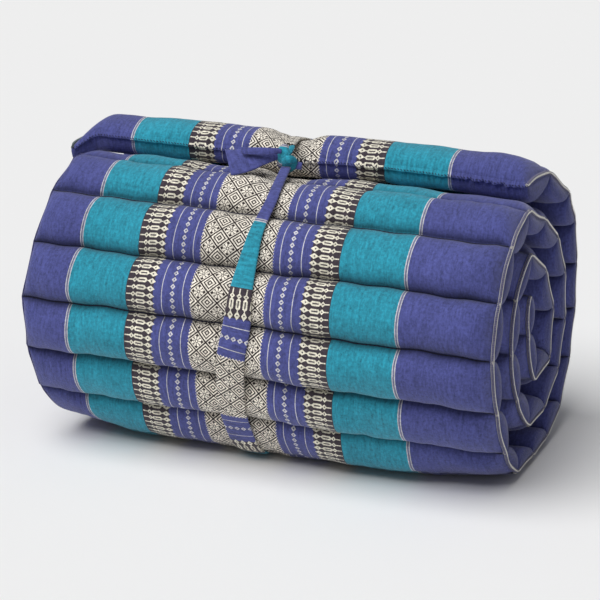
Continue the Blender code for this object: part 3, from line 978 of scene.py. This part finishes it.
def buildTieBand():
    # a ribbon from under the knot, down the front, underneath, up the back and over the flap
    outer = pick(matLoop, slice(matLoop["half"]))
    outline = matSurface(outer, strapMiddle(outer["y"], outer["z"]))[:, 1:]
    outline[:, 1] = np.maximum(outline[:, 1], tie["outlineLowest"])
    front = outline[(outer["where"] > 6) & (outer["where"] < 16.4)]
    flap = outline[outer["where"] < 9]
    down, downFacing = tautLine(np.vstack([front, [tie["knotBottom"]]]), 60, -160)
    over, overFacing = tautLine(np.vstack([flap, [tie["knotTop"]]]), 200, 60)
    path = np.vstack([[tie["knotBottom"]], down, over, [tie["knotTop"]]])
    facing = np.vstack([[(-0.5, 0.5)], downFacing, overFacing, [(-0.5, 0.7)]])
    keep = np.concatenate([[True], np.linalg.norm(np.diff(path, axis=0), axis=1) > 0.0004])
    path, facing = evenly(path[keep], tie["samples"], facing[keep])
    facing = unit(softened(facing, 10))
    along = runLength(path)
    firstHalf = along < along[-1] / 2
    onFront = (path[:, 0] < 0.02) & firstHalf
    # full width behind, narrower on the front and towards the knot's top
    full, least = tie["fullWidth"], tie["knotWidth"]
    width = np.interp(path[:, 1], tie["widthHeights"], tie["widths"])
    narrow = least + (full - least) * smoothStep(along[-1] - along, 0.01, 0.16)
    width = softened(np.minimum(np.where(onFront, width, full), narrow), 12)
    gathered = smoothStep(np.clip(1 - width / full, 0, 1), 0.08, 0.35)
    lift = tie["clearance"] + tie["thickness"] * 2.2 + tie["gatheredLift"] * gathered * onFront
    path = softened(path + facing * lift[:, None], 3)
    path[:, 1] = np.maximum(path[:, 1], tie["pathLowest"])
    x = strapMiddle(path[:, 0], path[:, 1])
    line = np.column_stack([softened(x, 20), path])
    sideways = np.tile([1.0, 0.0, 0.0], (len(line), 1))
    rings, place = ribbonRings(line, sideways, width, tie["flat"], tie["thickness"], tie["crown"])
    rings[..., 2] = np.maximum(rings[..., 2], 0.0)
    # the lattice's middle lies where the band passes latticeHeight on the front
    front = np.where((line[:, 1] < 0) & firstHalf)[0]
    middleRow = front[np.abs(line[front, 2] - tie["latticeHeight"]).argmin()]
    # two lengths of ribbon are joined under the roll, and the pattern jumps there
    onCloth = along[middleRow] - along
    joined = (along > along[middleRow]) & (line[:, 1] > -0.02)
    onCloth = onCloth + (tie["knotPlace"] - onCloth[-1]) % tie["repeat"] * joined
    cloth = together(onCloth[:, None], place)
    piece = makeTubes("tie_ribbon", rings[None], cloth, tieCloth)
    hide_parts("tie_band")


knot = {
    "middle": (-0.0075, 0.0, 0.2985),
    # grooves along each fold: place across it, width and depth
    "grooves": [(0.35, 0.15, 0.20), (-0.45, 0.13, 0.14)],
    # each fold of the knot: its middle line (X, Y, Z in mm), half width and half depth in mm,
    # and the place on the cloth that it starts at
    "folds": [
        (((-10, -8.5, 313), (-10.5, -12.5, 307), (-9.5, -13, 300), (-8, -11.5, 292),
          (-7, -9.5, 285)), 8.2, 5.8, -0.1725),
        (((-3, -3.5, 311), (-3.5, -8.5, 310), (-5.5, -14, 307), (-9, -16.5, 303), (-12.5, -16, 297),
          (-14.5, -13, 291), (-13.5, -9.5, 287)), 4.6, 2.2, 0.150),
        (((-13.5, -12.5, 294), (-10, -17, 296.5), (-5, -18.5, 300), (-0.5, -16.5, 301),
          (1.2, -13, 297), (-0.5, -13, 291), (-5, -12.5, 285.5)), 4.4, 2.3, 0.118),
    ],
}


def buildKnot():
    # bundles that cross each other: a flattened, grooved ellipse carried along each curved line
    angle = np.linspace(0, 2 * np.pi, 28, endpoint=False)
    groove = 1 - sum(depth * np.exp(-((np.sin(angle) - place) / width) ** 2)
                     for place, width, depth in knot["grooves"])
    rings, cloth = [], []
    for table, halfWidth, halfDepth, place in knot["folds"]:
        line = flowing(table, 41, 12)
        forward = headings(line)
        sideways = unit(np.cross(forward, unit(line - knot["middle"])))
        away = np.cross(sideways, forward)
        taper = np.clip(np.sin(np.linspace(0, np.pi, len(line))), 0.02, 1) ** 0.42
        wide = sideways[:, None] * np.sin(angle)[:, None] * halfWidth
        deep = away[:, None] * (np.cos(angle) * groove)[:, None] * halfDepth
        rings.append(line[:, None] + (wide + deep) * taper[:, None, None] / 1000)
        across = np.sin(angle) * halfWidth / 1000
        cloth.append(together(place + runLength(line)[:, None], across))
    piece = makeTubes("tie_knot_wraps", np.array(rings), np.array(cloth), tieCloth)
    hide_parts("tie_knot")


tails = {
    "waves": (0.034, 0.021), "wave": 0.0006,
    "clothPlace": 0.19, "clothShare": 0.8,      # where on the pattern an end starts
    # upper and lower edge from the knot outwards: X, Y, Z in mm
    "long": [((-8, -11.5, 308), (-9, -12.5, 300)), ((-22, -13.5, 307.5), (-19.5, -18.5, 297)),
             ((-36, -17.5, 307), (-26, -26.5, 294.5)), ((-50, -20.5, 306.5), (-33.5, -34.5, 291.5)),
             ((-60, -22.5, 306), (-42, -41.5, 288.5)), ((-69, -23.5, 305), (-53, -46.5, 286.5))],
    "fold": [((-11, -17, 310.5), (-11, -18, 306)), ((-16, -20.5, 312), (-15.5, -22.5, 306)),
             ((-27, -23.5, 312), (-26, -26.5, 305)), ((-39, -26, 311.5), (-37.5, -29.5, 305)),
             ((-50, -27, 310.5), (-48, -30.5, 305))],
    "short": [((-3, -9.5, 297), (-3, -9.5, 290)), ((1, -10.5, 297), (1, -11.5, 289.5)),
              ((5, -10.5, 297), (5, -12.5, 289.5)), ((9, -10.5, 296.5), (9, -13, 290))],
}


def buildTail(name, table, bow, node):
    # a sheet between two edges, each a smooth line through its points, bowed outwards between
    # them and gently rippled
    marks, fine = np.arange(len(table)), np.linspace(0, len(table) - 1, 41)
    columns = np.array(table).reshape(len(table), 6).T / 1000
    edges = softened(np.stack([np.interp(fine, marks, column) for column in columns], -1), 12)
    upper, lower = edges[:, :3], edges[:, 3:]
    share = np.linspace(0, 1, 15)[:, None]
    sheet = upper[:, None] * (1 - share) + lower[:, None] * share
    normal = unit(np.cross(np.gradient(sheet, axis=0), np.gradient(sheet, axis=1)))
    normal = normal * np.where(normal[..., 1:2] > 0, -1, 1)
    wave = ripple(runLength(upper)[:, None] + share[:, 0] * 0.013, tails["waves"], 3)
    spread = np.linspace(0.2, 1, 41)[:, None, None] * tails["wave"]
    sheet = sheet + normal * (bow * np.sin(np.pi * share) + wave[..., None] * spread)
    half = tie["thickness"] / 2
    rings = np.concatenate([sheet + normal * half, (sheet - normal * half)[:, ::-1]], 1)
    along = runLength((upper + lower) / 2)
    width = np.linalg.norm(upper - lower, axis=1)
    row = np.concatenate([share[:, 0], share[::-1, 0]]) - 0.5
    place = tails["clothPlace"] + along[:, None] * tails["clothShare"]
    cloth = together(place, width[:, None] * row)
    piece = makeTubes(name, rings[None], cloth, tieCloth)
    if node:
        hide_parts(node)


buildTieBand()
buildKnot()
buildTail("tie_tail_long", tails["long"], 0.0015, "tie_end_long")
buildTail("tie_tail_fold", tails["fold"], 0.0008, None)
buildTail("tie_tail_short", tails["short"], 0.0008, "tie_end_short")
print("tie knotted")


# Studio

studio = {
    "target": (0.055, -0.1340, 0.199), "azimuth": 21.5, "elevation": 20.0,
    "distance": 2.995, "lens": 186.0, "sensor": 36.0,
    "floorColour": (0.86, 0.86, 0.86, 1), "keyFrom": (-0.25, -0.38, 0.90),
    "keyStrength": 2.80, "keyWidth": 50,        # watts for a square metre, degrees
    "skyStrength": 0.21,
}


def buildStudio():
    # a wide pale floor, an even sky, one soft key light and the camera
    floorMaterial = bpy.data.materials.new("studio_floor")
    floorMaterial.use_nodes = True
    shader = floorMaterial.node_tree.nodes["Principled BSDF"]
    shader.inputs["Base Color"].default_value = studio["floorColour"]
    shader.inputs["Roughness"].default_value = 0.9
    shader.inputs["Specular IOR Level"].default_value = 0.1
    mesh = bpy.data.meshes.new("floor")
    mesh.from_pydata([(-9, -9, 0), (9, -9, 0), (9, 9, 0), (-9, 9, 0)], [], [(0, 1, 2, 3)])
    mesh.materials.append(floorMaterial)
    floor = bpy.data.objects.new("floor", mesh)
    bpy.context.collection.objects.link(floor)

    world = bpy.data.worlds.new("studio")
    world.use_nodes = True
    world.node_tree.nodes["Background"].inputs["Color"].default_value = (1, 1, 1, 1)
    world.node_tree.nodes["Background"].inputs["Strength"].default_value = studio["skyStrength"]
    bpy.context.scene.world = world

    sun = bpy.data.lights.new("overcast_key", "SUN")
    sun.energy, sun.angle = studio["keyStrength"], np.radians(studio["keyWidth"])
    key = bpy.data.objects.new("overcast_key", sun)
    key.rotation_mode = "QUATERNION"
    key.rotation_quaternion = Vector(studio["keyFrom"]).to_track_quat("Z", "Y")
    bpy.context.collection.objects.link(key)

    lens = bpy.data.cameras.new("camera")
    lens.lens, lens.sensor_width = studio["lens"], studio["sensor"]
    camera = bpy.data.objects.new("camera", lens)
    a, e = np.radians(studio["azimuth"]), np.radians(studio["elevation"])
    back = Vector((np.sin(a) * np.cos(e), -np.cos(a) * np.cos(e), np.sin(e)))
    target = Vector(studio["target"]) + Vector((0, mat["footprintShift"], 0))
    camera.location = target + back * studio["distance"]
    camera.rotation_mode = "QUATERNION"
    camera.rotation_quaternion = (-back).to_track_quat("-Z", "Y")
    bpy.context.collection.objects.link(camera)
    bpy.context.scene.camera = camera
    bpy.context.scene.view_settings.view_transform = "Standard"


buildStudio()
print("studio lit")
